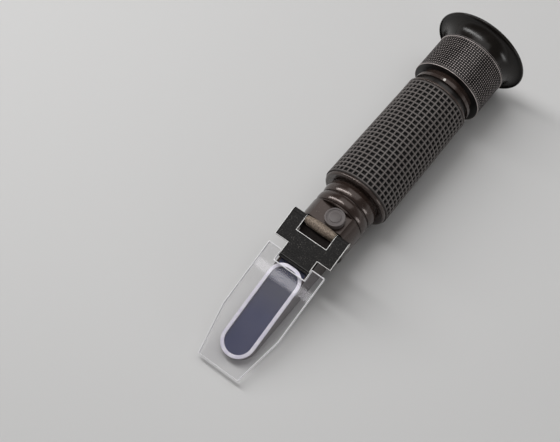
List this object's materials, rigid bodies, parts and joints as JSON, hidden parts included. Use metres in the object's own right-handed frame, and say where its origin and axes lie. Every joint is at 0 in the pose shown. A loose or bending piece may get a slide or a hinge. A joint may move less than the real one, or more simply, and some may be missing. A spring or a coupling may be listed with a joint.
{
  "type": "hand-held refractometer",
  "caption": "Hand-held refractometer with a hinged clear daylight plate over its prism, rubber grip and focusing eyepiece with a flared cup.",
  "frame": {"origin": "middle of the rear neck band, on the optical axis", "axes": "+X along the optical axis from the eye to the prism, +Z out of the daylight plate, +Y to the left seen from the eyepiece"},
  "size_m": [0.1771, 0.0418, 0.0418],
  "materials": {
    "gloss_black": "gloss black lacquer",
    "satin_black": "satin black",
    "crinkle_black": "black crinkle paint",
    "bronze": "brushed bronze",
    "brass": "turned brass",
    "steel": "satin steel",
    "cap_rubber": "soft matt rubber",
    "grip_rubber": "dimpled rubber",
    "cup_rubber": "smooth satin rubber",
    "clear_acrylic": "clear acrylic",
    "prism_glass": "blue-tinted polished glass",
    "lens_glass": "polished optical glass",
    "black_anodised": "black anodised"
  },
  "bodies": {
    "housing": {"prism_housing": "gloss_black", "prism": "prism_glass", "hinge_knuckle": "bronze", "hinge_pin": "steel", "neck_sleeve": "gloss_black", "aperture_stop": "black_anodised", "body_tube": "satin_black", "grip_sleeve": "grip_rubber", "grip_front_ring": "gloss_black", "grip_rear_ring": "gloss_black", "reticle_cell": "black_anodised", "reticle": "lens_glass", "reticle_ring": "black_anodised", "eyepiece_flange": "black_anodised", "guide_screw": "steel", "objective_cell": "black_anodised", "objective_lens": "lens_glass", "objective_ring": "black_anodised", "cell_spring": "steel"},
    "plate": {"hinge_clip": "crinkle_black", "daylight_plate": "clear_acrylic"},
    "cap": {"calibration_cap": "cap_rubber"},
    "screw": {"calibration_screw": "brass"},
    "draw": {"draw_tube": "black_anodised", "ring_clip": "steel", "field_lens": "lens_glass", "lens_spacer": "black_anodised", "eye_lens": "lens_glass", "eye_lens_ring": "black_anodised"},
    "focus": {"focusing_ring": "black_anodised", "eyecup": "cup_rubber"}
  },
  "joints": [
    {"name": "plate_hinge", "type": "hinge", "parent": "housing", "child": "plate", "pos_m": [0.0193, 0, 0.00945], "axis": [0, -1, 0], "range_deg": [0, 105]},
    {"name": "cap_pull", "type": "slide", "parent": "housing", "child": "cap", "axis": [0, 0, 1], "range_m": [0, 0.012]},
    {"name": "screw_turn", "type": "hinge", "parent": "housing", "child": "screw", "pos_m": [0.01305, 0.0021, 0.0092], "axis": [0, 0, 1], "range_deg": [-360, 360]},
    {"name": "eyepiece_slide", "type": "slide", "parent": "housing", "child": "draw", "axis": [1, 0, 0], "range_m": [-0.002, 0.002]},
    {"name": "focus_turn", "type": "hinge", "parent": "draw", "child": "focus", "pos_m": [-0.076, 0, 0], "axis": [1, 0, 0], "range_deg": [-120, 120]}
  ],
  "couplings": [
    {"joint": "eyepiece_slide", "follows": "focus_turn", "m_per_rad": 0.00095}
  ]
}
